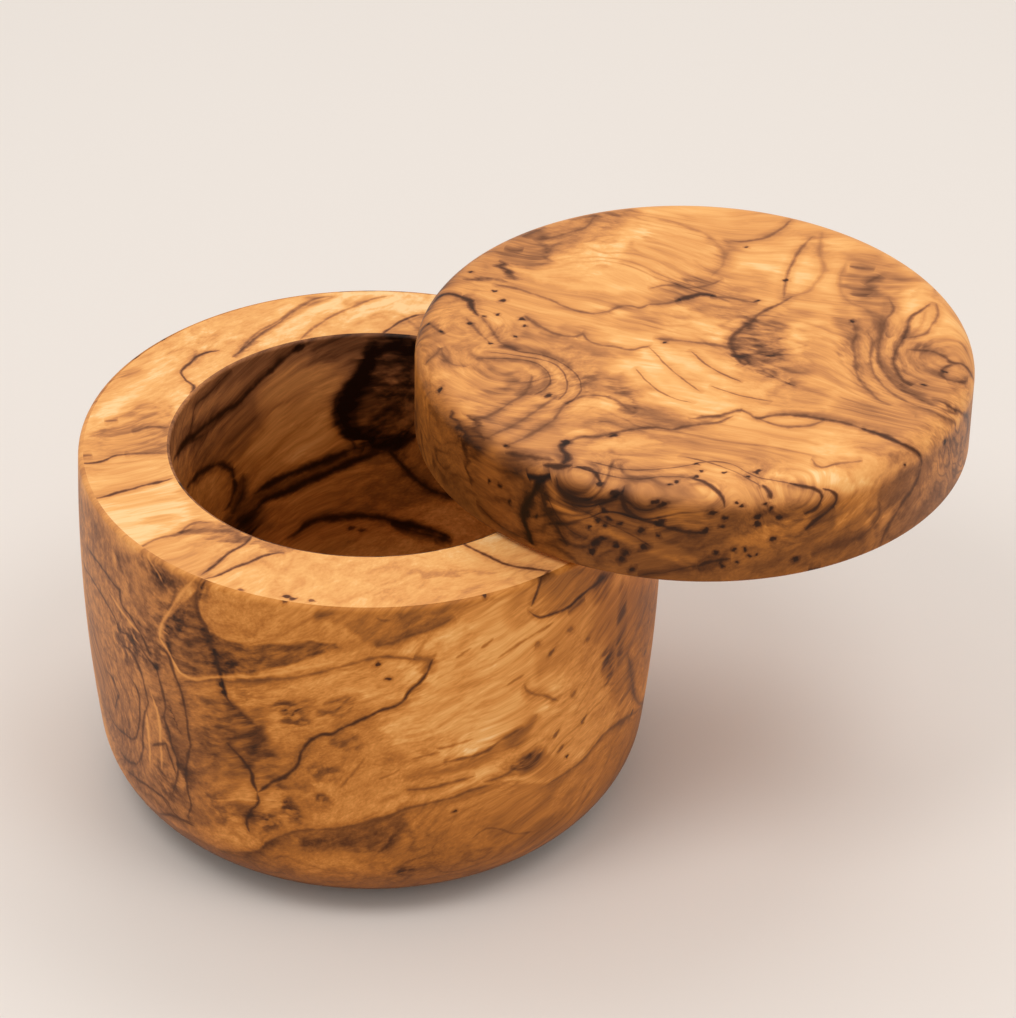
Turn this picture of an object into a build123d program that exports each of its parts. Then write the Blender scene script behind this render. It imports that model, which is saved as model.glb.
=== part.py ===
"""Turned wooden salt keeper: a thick-walled round pot and a thick disc lid that
swivels sideways on a hidden steel peg and lifts off it.

Millimetres. +Z is up, the origin is the centre of the flat foot, and the lid is
swung open to the right, towards +X.
"""
import os
from math import cos, radians, sin

from build123d import *

# ---- Pot
rim_radius = 51.0  # outside of the rim
pot_height = 69.0
foot_taper = 3.75  # the side, carried down to the table, is this much inside the rim
side_swell = 1.85  # the side's outward bow, half way up
heel_round = 16.0
rim_width = 16.0  # flat land from the outside of the rim to the mouth
floor_thickness = 14.0
well_corner_round = 12.0
rim_round = 0.9
mouth_round = 0.6

# ---- Lid
lid_inset = 2.3  # the closed lid stands this far inside the rim all round
lid_thickness = 17.6
lid_top_round = 4.0
lid_bottom_round = 0.6

# ---- Pivot: peg pressed in the rim, sleeve pressed in the lid, washer between them
pin_inset = 9.0  # peg axis from the outside of the rim
pin_bearing = 51.65  # degrees round the rim from +X
open_angle = 84.6  # the lid is shown this far from closed
pin_radius = 2.5
pin_in_pot = 16.0
pin_above_rim = 12.0
pin_chamfer = 0.4
pin_hole_relief = 0.5  # the hole in the rim is this much deeper than the peg
press = 0.02  # radial interference of a pressed piece
bush_clearance = 0.05  # radial running fit on the peg
bush_wall = 1.0
bush_length = 12.0
bush_lead_in = 0.3
socket_relief = 0.4  # the socket in the lid is this much deeper than the sleeve
washer_thickness = 0.6
washer_radius = 5.5
washer_clearance = 0.1
thrust_gap = 0.05  # under the washer, and again over it

# ---- Places that follow
mouth_radius = rim_radius - rim_width
side_foot_radius = rim_radius - foot_taper
side_middle_radius = (rim_radius + side_foot_radius) / 2 + side_swell

pivot_radius = rim_radius - pin_inset
pin_x = pivot_radius * cos(radians(pin_bearing))
pin_y = pivot_radius * sin(radians(pin_bearing))

# The lid's axis stands as far from the peg as the pot's does, so it closes centred.
lid_radius = rim_radius - lid_inset
lid_x = pin_x - pivot_radius * cos(radians(pin_bearing + open_angle))
lid_y = pin_y - pivot_radius * sin(radians(pin_bearing + open_angle))

washer_bottom = pot_height + thrust_gap
lid_bottom = washer_bottom + washer_thickness + thrust_gap
bush_bore_radius = pin_radius + bush_clearance
bush_radius = bush_bore_radius + bush_wall

os.makedirs("parts", exist_ok=True)


# ---- Pot: one turned piece with a flat foot, a round heel and a round-cornered well
with BuildPart() as pot:
    with BuildSketch(Plane.XZ) as half_section:
        with BuildLine():
            foot = Line((0, 0), (side_foot_radius, 0))
            side = ThreePointArc(foot @ 1, (side_middle_radius, pot_height / 2), (rim_radius, pot_height))
            rim = Line(side @ 1, (mouth_radius, pot_height))
            wall = Line(rim @ 1, (mouth_radius, floor_thickness))
            floor = Line(wall @ 1, (0, floor_thickness))
            Line(floor @ 1, foot @ 0)
        make_face()
        for corner, radius in (
            ((side_foot_radius, 0), heel_round),
            ((rim_radius, pot_height), rim_round),
            ((mouth_radius, pot_height), mouth_round),
            ((mouth_radius, floor_thickness), well_corner_round),
        ):
            fillet(half_section.vertices().sort_by_distance(corner)[0], radius)
    revolve(axis=Axis.Z)
    with Locations((pin_x, pin_y, pot_height)):
        Hole(radius=pin_radius - press, depth=pin_in_pot + pin_hole_relief)
pot.part.label = "pot"

# ---- Lid: a thick disc with a rounded upper edge and a blind socket underneath
with BuildPart() as lid:
    with BuildSketch(Plane.XY.offset(lid_bottom)):
        with Locations((lid_x, lid_y)):
            Circle(lid_radius)
    extrude(amount=lid_thickness)
    fillet(lid.edges().group_by(Axis.Z)[-1], lid_top_round)
    fillet(lid.edges().group_by(Axis.Z)[0], lid_bottom_round)
    with BuildSketch(Plane.XY.offset(lid_bottom)):
        with Locations((pin_x, pin_y)):
            Circle(bush_radius - press)
    extrude(amount=bush_length + socket_relief, mode=Mode.SUBTRACT)
lid.part.label = "lid"

# ---- Pivot pin: plain steel dowel, chamfered at both ends
with BuildPart() as pivot_pin:
    with BuildSketch(Plane.XY.offset(pot_height - pin_in_pot)):
        with Locations((pin_x, pin_y)):
            Circle(pin_radius)
    extrude(amount=pin_in_pot + pin_above_rim)
    chamfer(pivot_pin.edges().filter_by(GeomType.CIRCLE), pin_chamfer)
pivot_pin.part.label = "pivot_pin"

# ---- Pivot bush: brass sleeve flush with the lid's underside, eased where the peg enters
with BuildPart() as pivot_bush:
    with BuildSketch(Plane.XY.offset(lid_bottom)):
        with Locations((pin_x, pin_y)):
            Circle(bush_radius)
            Circle(bush_bore_radius, mode=Mode.SUBTRACT)
    extrude(amount=bush_length)
    chamfer(pivot_bush.edges().group_by(Axis.Z)[0].sort_by(SortBy.RADIUS)[0], bush_lead_in)
pivot_bush.part.label = "pivot_bush"

# ---- Pivot washer: keeps wood off wood and turns with the lid
with BuildPart() as pivot_washer:
    with BuildSketch(Plane.XY.offset(washer_bottom)):
        with Locations((pin_x, pin_y)):
            Circle(washer_radius)
            Circle(pin_radius + washer_clearance, mode=Mode.SUBTRACT)
    extrude(amount=washer_thickness)
pivot_washer.part.label = "pivot_washer"

export_step(pot.part, "parts/pot.step")
export_step(lid.part, "parts/lid.step")
export_step(pivot_pin.part, "parts/pivot_pin.step")
export_step(pivot_bush.part, "parts/pivot_bush.step")
export_step(pivot_washer.part, "parts/pivot_washer.step")
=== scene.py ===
"""Looks of a turned olive-wood salt keeper with a thick lid that swivels aside.

Lengths here are millimetres unless a name ends in _m or _M. The wood's figure is drawn by
shader nodes: warped, streaked noise for the grain, and over it veins, patches and pin knots
placed one by one. Each of those is given by a few pixels of the 1016 x 1018 photograph, in the
view of the camera below, and is carried from there onto the turned surfaces. Tones and the
amounts that are added to them run from 0, a black vein, to 1, pale sapwood.
"""
from math import atan2, cos, degrees, hypot, pi, radians, sin, sqrt

import bpy
from mathutils import Matrix, Vector


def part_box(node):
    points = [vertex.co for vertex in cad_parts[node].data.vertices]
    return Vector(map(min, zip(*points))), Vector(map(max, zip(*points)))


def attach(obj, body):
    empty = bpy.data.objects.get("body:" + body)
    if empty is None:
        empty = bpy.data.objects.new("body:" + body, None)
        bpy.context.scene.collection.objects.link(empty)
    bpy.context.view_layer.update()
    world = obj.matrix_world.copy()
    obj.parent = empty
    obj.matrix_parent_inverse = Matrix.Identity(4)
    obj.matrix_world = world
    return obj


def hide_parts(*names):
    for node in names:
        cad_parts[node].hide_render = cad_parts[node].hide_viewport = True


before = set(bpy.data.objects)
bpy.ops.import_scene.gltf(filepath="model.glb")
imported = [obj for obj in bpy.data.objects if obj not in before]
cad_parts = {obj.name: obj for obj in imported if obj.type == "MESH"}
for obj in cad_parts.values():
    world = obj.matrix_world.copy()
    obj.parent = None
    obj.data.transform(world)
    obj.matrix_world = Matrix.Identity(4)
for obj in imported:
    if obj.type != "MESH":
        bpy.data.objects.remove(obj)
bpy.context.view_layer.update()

MM = 0.001

# ---- Photograph and camera
PHOTO_WIDTH_PX = 1016
PHOTO_HEIGHT_PX = 1018
FOCAL_PX = 4222.0
SENSOR_MM = 36.0
CAMERA_AT = Vector((0.0, -617.3, 475.2))
PAN = 0.03919  # radians, to the right of +Y
TILT = 0.59803  # down
ROLL = 0.01625

# ---- Sizes of the turned pieces
rim_radius = 51.0
foot_taper = 3.75
side_swell = 1.85
heel_round = 16.0
rim_width = 16.0
floor_thickness = 14.0
well_corner_round = 12.0
rim_round = 0.9
mouth_round = 0.6
lid_top_round = 4.0
lid_bottom_round = 0.6
bush_depth = 12.4


def corners_mm(node):
    low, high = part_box(node)
    return Vector(low) / MM, Vector(high) / MM


pot_height = corners_mm("pot")[1].z
lid_low, lid_high = corners_mm("lid")
bush_low, bush_high = corners_mm("pivot_bush")
mouth_radius = rim_radius - rim_width
lid_middle = (lid_low + lid_high) / 2
lid_radius = (lid_high.x - lid_low.x) / 2
bush_middle = (bush_low + bush_high) / 2
bush_radius = (bush_high.x - bush_low.x) / 2


# ---- Outlines, as lists of (radius, height)
def arc(centre, radius, start, end, steps):
    """Points round a centre, from one angle in degrees to another."""
    turn = [radians(start + (end - start) * i / steps) for i in range(steps + 1)]
    return [(centre[0] + radius * cos(a), centre[1] + radius * sin(a)) for a in turn]


def circle_through(a, b, c):
    """Centre and radius of the circle through three points."""
    d = 2 * (a[0] * (b[1] - c[1]) + b[0] * (c[1] - a[1]) + c[0] * (a[1] - b[1]))
    sa, sb, sc = (p[0] ** 2 + p[1] ** 2 for p in (a, b, c))
    x = (sa * (b[1] - c[1]) + sb * (c[1] - a[1]) + sc * (a[1] - b[1])) / d
    y = (sa * (c[0] - b[0]) + sb * (a[0] - c[0]) + sc * (b[0] - a[0])) / d
    return (x, y), hypot(a[0] - x, a[1] - y)


side_foot = (rim_radius - foot_taper, 0.0)
side_belly = (rim_radius - foot_taper / 2 + side_swell, pot_height / 2)
side_centre, side_curve = circle_through(side_foot, side_belly, (rim_radius, pot_height))


def inside_side(height, inset):
    """The radius at a height that lies this far inside the side's curve."""
    return side_centre[0] + sqrt((side_curve - inset) ** 2 - (height - side_centre[1]) ** 2)


def side_angle(point):
    return degrees(atan2(point[1] - side_centre[1], point[0] - side_centre[0]))


heel = (inside_side(heel_round, heel_round), heel_round)
rim_edge = (inside_side(pot_height - rim_round, rim_round), pot_height - rim_round)


def side_radius(height):
    """Outside radius of the pot at a height."""
    if height < heel[1] + heel_round * sin(radians(side_angle(heel))):
        return heel[0] + sqrt(max(heel_round ** 2 - (heel_round - height) ** 2, 0))
    return inside_side(height, 0.0)


# ---- From the photograph onto the surfaces
camera_view = Vector((sin(PAN) * cos(TILT), cos(PAN) * cos(TILT), -sin(TILT)))
level_right = camera_view.cross(Vector((0, 0, 1))).normalized()
level_up = level_right.cross(camera_view)
camera_right = cos(ROLL) * level_right + sin(ROLL) * level_up
camera_up = cos(ROLL) * level_up - sin(ROLL) * level_right

NEAREST, FARTHEST = 600.0, 950.0  # from the camera to the object
RAY_STEP = 0.5
HALVINGS = 10  # of the last step, to find the surface
POT_CENTRE_PX = Vector((370, 640))
LID_CENTRE_PX = Vector((695, 390))
# The photograph's lid stands a little off level, so its figure is squeezed by a few pixels
LID_BACK_PX = (200, 206)
LID_FRONT_PX = (583, 580)


def ray(pixel):
    """Direction from the camera through a pixel."""
    across = camera_right * (pixel[0] - PHOTO_WIDTH_PX / 2)
    upward = camera_up * (PHOTO_HEIGHT_PX / 2 - pixel[1])
    return (camera_view * FOCAL_PX + across + upward).normalized()


def first_inside(pixel, inside, centre):
    """The point where the ray through a pixel enters a solid. A pixel beside it moves in to its edge."""
    pixel = Vector(pixel)
    while True:
        way = ray(pixel)
        reach = NEAREST
        while reach < FARTHEST and not inside(CAMERA_AT + way * reach):
            reach += RAY_STEP
        if reach < FARTHEST:
            break
        pixel += (centre - pixel).normalized()
    outside_reach = reach - RAY_STEP
    for _ in range(HALVINGS):
        middle = (outside_reach + reach) / 2
        if inside(CAMERA_AT + way * middle):
            reach = middle
        else:
            outside_reach = middle
    return CAMERA_AT + way * reach


def inside_pot(p):
    return 0 < p.z < pot_height and hypot(p.x, p.y) < side_radius(p.z)


def inside_lid(p):
    radius = hypot(p.x - lid_middle.x, p.y - lid_middle.y)
    drop = lid_high.z - p.z
    if drop < 0 or p.z < lid_low.z or radius > lid_radius:
        return False
    over_round = radius - (lid_radius - lid_top_round)
    return over_round < 0 or drop > lid_top_round or hypot(over_round, lid_top_round - drop) < lid_top_round


def on_rim(pixel):
    way = ray(pixel)
    p = CAMERA_AT + way * ((pot_height - CAMERA_AT.z) / way.z)
    return p.x, p.y


def on_side(pixel):
    """Distance round the pot from its front, and height."""
    p = pot_point(pixel)
    return rim_radius * atan2(p.x, -p.y), p.z


def on_well(pixel):
    """Distance round the well's wall from its back, and height."""
    way = ray(pixel)
    across = way.x ** 2 + way.y ** 2
    along = CAMERA_AT.x * way.x + CAMERA_AT.y * way.y
    off = CAMERA_AT.x ** 2 + CAMERA_AT.y ** 2 - mouth_radius ** 2
    p = CAMERA_AT + way * ((sqrt(max(along ** 2 - across * off, 0)) - along) / across)
    return mouth_radius * atan2(p.x, p.y), p.z


def pot_point(pixel):
    return first_inside(pixel, inside_pot, POT_CENTRE_PX)


def lid_point(pixel):
    down = (pixel[1] - LID_BACK_PX[0]) / (LID_FRONT_PX[0] - LID_BACK_PX[0])
    level = (pixel[0], LID_BACK_PX[1] + down * (LID_FRONT_PX[1] - LID_BACK_PX[1]))
    return first_inside(level, inside_lid, LID_CENTRE_PX)


def on_lid(pixel):
    """The lid's top, with its side unrolled outside it."""
    p = lid_point(pixel) - lid_middle
    radius = hypot(p.x, p.y)
    unrolled = radius + (lid_high.z - lid_middle.z) - p.z
    return p.x * unrolled / radius, p.y * unrolled / radius


# ---- Shader nodes
def linear(colour):
    """Scene-linear RGBA of an sRGB colour in 0 to 255."""
    parts = (c / 255 for c in colour)
    return [c / 12.92 if c <= 0.04045 else ((c + 0.055) / 1.055) ** 2.4 for c in parts] + [1.0]


class Nodes:
    """Makes the nodes of one tree."""

    def __init__(self, tree):
        self.tree = tree

    def feed(self, socket, value):
        if isinstance(value, bpy.types.NodeSocket):
            self.tree.links.new(value, socket)
        else:
            socket.default_value = value

    def node(self, kind, *values, **settings):
        made = self.tree.nodes.new("ShaderNode" + kind)
        for name, value in settings.items():
            setattr(made, name, value)
        for socket, value in zip(made.inputs, values):
            self.feed(socket, value)
        return made

    def math(self, operation, *values):
        return self.node("Math", *values, operation=operation).outputs[0]

    def vector(self, operation, *values):
        made = self.node("VectorMath", *values, operation=operation)
        return made.outputs["Value" if operation in ("LENGTH", "DISTANCE", "DOT_PRODUCT") else "Vector"]

    def scaled(self, vector, factor):
        made = self.node("VectorMath", vector, operation="SCALE")
        self.feed(made.inputs["Scale"], factor)
        return made.outputs["Vector"]

    def parts(self, vector):
        return self.node("SeparateXYZ", vector).outputs

    def joined(self, x, y, z):
        return self.node("CombineXYZ", x, y, z).outputs[0]

    def noise(self, vector, size, detail=2.0, roughness=0.5, colour=False):
        made = self.node("TexNoise")
        for name, value in (("Vector", vector), ("Scale", 1 / size), ("Detail", detail), ("Roughness", roughness)):
            self.feed(made.inputs[name], value)
        return made.outputs["Color" if colour else 0]

    def between(self, value, low, high, to_low=0.0, to_high=1.0):
        """Eases from one result to another as the value goes from low to high, and is level outside."""
        return self.node("MapRange", value, low, high, to_low, to_high, interpolation_type="SMOOTHSTEP").outputs[0]

    def curve(self, value, points, handles="AUTO"):
        """A smooth curve through (x, y) points in 0 to 1, level beyond its ends."""
        made = self.node("FloatCurve", 1.0, value)
        mapping = made.mapping
        mapping.extend = "HORIZONTAL"
        line = mapping.curves[0].points
        line[0].location = points[0]
        line[1].location = points[-1]
        for point in points[1:-1]:
            line.new(*point)
        for point in line:
            point.handle_type = handles
        mapping.update()
        return made.outputs[0]

    def ramp(self, value, stops):
        made = self.node("ValToRGB", value)
        line = made.color_ramp
        while len(line.elements) < len(stops):
            line.elements.new(1.0)
        for element, (place, colour) in zip(line.elements, stops):
            element.position = place
            element.color = linear(colour)
        return made.outputs[0]

    # A chart is a flat map of a face in mm, held as (x, y, 1), so that a dot product can carry an offset.
    def reading(self, chart, origin, direction, length, offset=0.0):
        """How far a place lies from the origin along a direction, in lengths."""
        scaled = direction / length
        return self.vector("DOT_PRODUCT", chart, (scaled.x, scaled.y, offset - scaled.dot(origin)))


class Material(Nodes):
    """A node material with one Principled shader."""

    def __init__(self, name):
        self.data = bpy.data.materials.new(name)
        self.data.use_nodes = True
        super().__init__(self.data.node_tree)
        self.shader = self.tree.nodes["Principled BSDF"]


def grouped(name, outside, chart, draw):
    """Draws a strength on a chart in a node group of its own, and returns it in the outside tree."""
    tree = bpy.data.node_groups.new(name, "ShaderNodeTree")
    tree.interface.new_socket("Chart", in_out="INPUT", socket_type="NodeSocketVector")
    tree.interface.new_socket("Strength", in_out="OUTPUT", socket_type="NodeSocketFloat")
    inside = Nodes(tree)
    strength = draw(inside, tree.nodes.new("NodeGroupInput").outputs[0])
    inside.feed(tree.nodes.new("NodeGroupOutput").inputs[0], strength)
    made = outside.tree.nodes.new("ShaderNodeGroup")
    made.node_tree = tree
    outside.feed(made.inputs[0], chart)
    return made.outputs[0]


# ---- Turned meshes
STEPS_ROUND = 256
NO_OFFSET = (0.0, 0.0)


def turned(name, rings, middle, materials):
    """A closed turned mesh. Each ring is (radius, height, offset, material), its offset in x and y
    from the middle, and its material that of the faces on to the next ring; a radius of 0 is a pole."""
    verts = []
    loops = []
    for radius, height, offset, _ in rings:
        count = STEPS_ROUND if radius else 1
        loops.append(range(len(verts), len(verts) + count))
        for i in range(count):
            a = 2 * pi * i / STEPS_ROUND
            verts.append(((middle[0] + offset[0] + radius * cos(a)) * MM,
                          (middle[1] + offset[1] + radius * sin(a)) * MM, height * MM))
    faces = []
    looks = []
    for low, high, ring in zip(loops, loops[1:], rings):
        for i in range(STEPS_ROUND):
            j = (i + 1) % STEPS_ROUND
            if len(low) == 1:
                faces.append((low[0], high[j], high[i]))
            elif len(high) == 1:
                faces.append((low[i], low[j], high[0]))
            else:
                faces.append((low[i], low[j], high[j], high[i]))
            looks.append(ring[3])
    mesh = bpy.data.meshes.new(name)
    mesh.from_pydata(verts, [], faces)
    for material in materials:
        mesh.materials.append(material)
    mesh.polygons.foreach_set("material_index", looks)
    mesh.polygons.foreach_set("use_smooth", [True] * len(faces))
    mesh.update()
    piece = bpy.data.objects.new(name, mesh)
    bpy.context.scene.collection.objects.link(piece)
    normals = piece.modifiers.new("flat faces stay flat", "WEIGHTED_NORMAL")
    normals.mode = "FACE_AREA"
    normals.weight = 100
    return piece


def rings_along(outline, look):
    return [(radius, height, NO_OFFSET, look) for radius, height in outline]


def flat_rings(start, end, height, look, steps):
    """Level rings between two radii, without the end ones."""
    radii = (start + (end - start) * i / steps for i in range(1, steps))
    return [(radius, height, NO_OFFSET, look) for radius in radii]


SIDE, RIM, WELL = range(3)


def pot_rings():
    side_low = side_angle(heel)
    side_rows = 40
    heel_top = heel[1] + heel_round * sin(radians(side_low))
    edge_low = side_angle(rim_edge)
    edge_start = rim_edge[1] + rim_round * sin(radians(edge_low))
    rows = [heel_top + (edge_start - heel_top) * i / side_rows for i in range(1, side_rows)]
    wall = mouth_radius
    corner = (wall - well_corner_round, floor_thickness + well_corner_round)
    mouth_edge = (wall + mouth_round, pot_height - mouth_round)
    wall_rows = 24
    wall_drop = mouth_edge[1] - corner[1]
    return (
        [(0, 0.0, NO_OFFSET, SIDE)]
        + flat_rings(0, heel[0], 0.0, SIDE, steps=5)
        + rings_along(arc(heel, heel_round, -90, side_low, steps=24), SIDE)
        + rings_along([(inside_side(z, 0), z) for z in rows], SIDE)
        + rings_along(arc(rim_edge, rim_round, edge_low, 90, steps=8)[:-1], SIDE)
        + rings_along([(rim_edge[0], pot_height)], RIM)
        + flat_rings(rim_edge[0], mouth_edge[0], pot_height, RIM, steps=6)
        + rings_along(arc(mouth_edge, mouth_round, 90, 180, steps=6)[:-1], WELL)
        + rings_along([(wall, mouth_edge[1] - wall_drop * i / wall_rows) for i in range(wall_rows)], WELL)
        + rings_along(arc(corner, well_corner_round, 0, -90, steps=16), WELL)
        + flat_rings(corner[0], 0, floor_thickness, WELL, steps=4)
        + [(0, floor_thickness, NO_OFFSET, WELL)]
    )


TOP, UNDER = range(2)


def lid_rings():
    top_edge = (lid_radius - lid_top_round, lid_high.z - lid_top_round)
    low_edge = (lid_radius - lid_bottom_round, lid_low.z + lid_bottom_round)
    side_rows = 10
    side_drop = top_edge[1] - low_edge[1]
    socket = (bush_middle.x - lid_middle.x, bush_middle.y - lid_middle.y)
    under_steps = 8
    under = []
    for i in range(1, under_steps):
        share = i / under_steps
        under.append((low_edge[0] + (bush_radius - low_edge[0]) * share, lid_low.z,
                      (socket[0] * share, socket[1] * share), UNDER))
    top_down = (
        [(0, lid_high.z, NO_OFFSET, TOP)]
        + flat_rings(0, top_edge[0], lid_high.z, TOP, steps=6)
        + rings_along(arc(top_edge, lid_top_round, 90, 0, steps=12), TOP)
        + rings_along([(lid_radius, top_edge[1] - side_drop * i / side_rows) for i in range(1, side_rows)], TOP)
        + rings_along(arc(low_edge, lid_bottom_round, 0, -90, steps=6)[:-1], TOP)
        + rings_along([(low_edge[0], lid_low.z)], TOP)
        + under
        + [(bush_radius, lid_low.z, socket, UNDER), (bush_radius, lid_low.z + bush_depth, socket, UNDER),
           (0, lid_low.z + bush_depth, socket, UNDER)]
    )
    return top_down[::-1]


# ---- Olive wood
# Colours of the oiled wood by tone
WOOD_TONES = (
    (0.00, (28, 12, 5)),
    (0.15, (63, 35, 19)),
    (0.30, (111, 67, 39)),
    (0.45, (155, 100, 61)),
    (0.60, (199, 132, 77)),
    (0.75, (230, 159, 90)),
    (0.88, (245, 181, 108)),
    (1.00, (254, 208, 147)),
)
DEEPER = (0.82, 0.69, 0.33, 1.0)  # linear, times the colour
DEEPEST_TONE = 0.55  # where the colour is deepened in full
KNOT_PUSH = (0.1, 0.8, 0.6)  # the way in which the grain bulges round a knot
BEND = 30
CURL = 3.5
BROAD_CONTRAST = 2.2  # of the broad noise, in shares of a wood's contrast
RINGS = 9  # in the whole range of the layers' noise
RING_SHARPNESS = 3.0
OWN_VEINS = 5  # in the whole range of their noise
OWN_CLOUDS = 0.4  # as dark as the veins times this
SHEEN = 0.14
DARK_ROUGHNESS, PALE_ROUGHNESS = 0.42, 0.5
BUMP_STRENGTH = 0.15
BUMP_HEIGHT_M = 0.0002
# How the fibre lies, as turns about x, y and z
POT_LIE = (0, radians(-25), radians(28))
LID_LIE = (0, radians(-10), radians(-18))


class Wood(Material):
    """Oiled olive wood. Its tone starts as grain, takes the figure drawn on it, and ends as colour.
    The grain bulges round each knot: (centre, reach, push)."""

    def __init__(self, name, lie, level, contrast, ring_depth=0.1, streak_depth=0.3, fibre_depth=0.26, knots=()):
        super().__init__(name)
        self.object_mm = self.scaled(self.node("TexCoord").outputs["Object"], 1 / MM)
        bends = self.noise(self.object_mm, size=60, detail=1.0, colour=True)
        curls = self.noise(self.object_mm, size=14, colour=True)
        warped = self.vector("MULTIPLY_ADD", bends, (BEND, BEND, BEND), self.object_mm)
        warped = self.vector("MULTIPLY_ADD", curls, (CURL, CURL, CURL), warped)
        for centre, reach, push in knots:
            away = self.vector("DISTANCE", self.object_mm, centre)
            bulge = self.between(away, reach, 0.0, to_high=push)
            warped = self.vector("ADD", warped, self.scaled(KNOT_PUSH, bulge))
        self.grain = self.node("Mapping", warped, (0, 0, 0), lie, (1, 1, 1), vector_type="TEXTURE").outputs[0]
        broad = self.noise(self.stretched(0.2), size=20, detail=3.0)
        layers = self.noise(self.stretched(0.13), size=11)
        rings = self.math("SINE", self.math("MULTIPLY", layers, 2 * pi * RINGS))
        thin = self.math("POWER", self.math("MULTIPLY_ADD", rings, 0.5, 0.5), RING_SHARPNESS)
        strong = self.between(self.noise(self.stretched(0.3), size=17, detail=1.0), 0.4, 0.7, to_low=0.3)
        streaks = self.noise(self.stretched(0.05), size=1.7)
        self.fibre = self.noise(self.stretched(0.035), size=0.45, roughness=0.6)
        tone = self.math("MULTIPLY_ADD", self.math("SUBTRACT", broad, 0.5), contrast * BROAD_CONTRAST, level)
        tone = self.math("MULTIPLY_ADD", self.math("MULTIPLY", thin, strong), -ring_depth, tone)
        tone = self.math("MULTIPLY_ADD", self.math("SUBTRACT", streaks, 0.5), streak_depth, tone)
        self.tone = self.math("MULTIPLY_ADD", self.math("SUBTRACT", self.fibre, 0.5), fibre_depth, tone)

    def stretched(self, along):
        """The grain's coordinates, drawn out along the fibre, the more the smaller `along` is."""
        return self.vector("MULTIPLY", self.grain, (along, 1, 1))

    def veined(self, where, depth):
        """Clouds and broken dark veins of the wood's own, for faces that the photograph doesn't show."""
        clouds = self.between(self.noise(self.stretched(0.22), size=13, detail=3.0, roughness=0.6), 0.42, 0.62)
        flow = self.noise(self.stretched(0.09), size=12, roughness=0.4)
        waves = self.math("SINE", self.math("MULTIPLY", flow, 2 * pi * OWN_VEINS))
        whole = self.between(self.noise(self.stretched(0.3), size=15, detail=1.0), 0.4, 0.56)
        line = self.math("MULTIPLY", self.math("POWER", self.between(waves, 0.7, 1.0), 2.0), whole)
        marks = self.math("MULTIPLY_ADD", clouds, OWN_CLOUDS, line)
        self.tone = self.math("MULTIPLY_ADD", self.math("MULTIPLY", marks, where), -depth, self.tone)

    def finish(self, deepened=None):
        """Ends the material. Where the mask it is given is 1, its darker tones have a deeper colour: the wood's
        own, and where the mask follows the light, painted shade and sheen.
        """
        colour = self.ramp(self.tone, WOOD_TONES)
        if deepened is not None:
            share = self.math("MULTIPLY", deepened, self.between(self.tone, 1.0, DEEPEST_TONE))
            colour = self.node("MixRGB", share, colour, DEEPER, blend_type="MULTIPLY").outputs[0]
        self.feed(self.shader.inputs["Base Color"], colour)
        self.shader.inputs["Specular IOR Level"].default_value = SHEEN
        rough = self.between(self.tone, 0.0, 1.0, DARK_ROUGHNESS, PALE_ROUGHNESS)
        self.feed(self.shader.inputs["Roughness"], rough)
        bump = self.node("Bump")
        bump.inputs["Strength"].default_value = BUMP_STRENGTH
        bump.inputs["Distance"].default_value = BUMP_HEIGHT_M
        self.feed(bump.inputs["Height"], self.fibre)
        self.feed(self.shader.inputs["Normal"], bump.outputs[0])
        return self.data


# ---- Figure drawn on the wood
STROKE_MARGIN = 0.06  # of a line's chord, beyond each end
STEEPEST = cos(radians(50))  # between a line's chord and its runs
NO_LINE = -8.0
THIN_END = 0.35  # of a line's full width
LONGEST_TAPER = 0.3  # of a line's length
TAPER_WIDTHS = 6
SOFT_SHARE = 0.85  # of a line's width, where its softness isn't given
SHAKE = 0.8  # how far the drawn lines wander
CRUMBLE = 1.1  # the same, for the outlines of spots
WOBBLE = 1.6  # how much a line's strength comes and goes
SPOT_TONE = 0.05
SPOT_SOFTNESS = 0.6


def pixels(text):
    """Reads pixels of the photograph, written `x,y x,y ...`."""
    return [tuple(map(int, pair.split(","))) for pair in text.split()]


def named_lines(rows):
    """Reads `name: x,y x,y ...; name: ...`, where a slash parts the two lines of one name."""
    for row in rows.split(";"):
        name, lines = row.split(":")
        yield name.strip(), [pixels(line) for line in lines.split("/")]


def gentle(points):
    chord = (points[-1] - points[0]).normalized()
    return all((b - a).normalized().dot(chord) > STEEPEST for a, b in zip(points, points[1:]))


def runs(points):
    """Cuts a line into pieces that never turn steeply away from their chord."""
    start = 0
    while start < len(points) - 1:
        end = start + 1
        while end + 1 < len(points) and gentle(points[start:end + 2]):
            end += 1
        yield points[start:end + 1], start == 0, end == len(points) - 1
        start = end


class Axis:
    """A straight ruler on a chart, with a margin beyond both ends; readings across it are 0.5 on it."""

    def __init__(self, start, end):
        chord = end - start
        self.origin = start - chord * STROKE_MARGIN
        self.length = chord.length * (1 + 2 * STROKE_MARGIN)
        self.along = chord.normalized()
        self.across = Vector((-self.along.y, self.along.x))

    def place(self, point):
        off = (point - self.origin) / self.length
        return off.dot(self.along), off.dot(self.across) + 0.5

    def readings(self, nodes, chart):
        return (nodes.reading(chart, self.origin, self.along, self.length),
                nodes.reading(chart, self.origin, self.across, self.length, 0.5))


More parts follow.
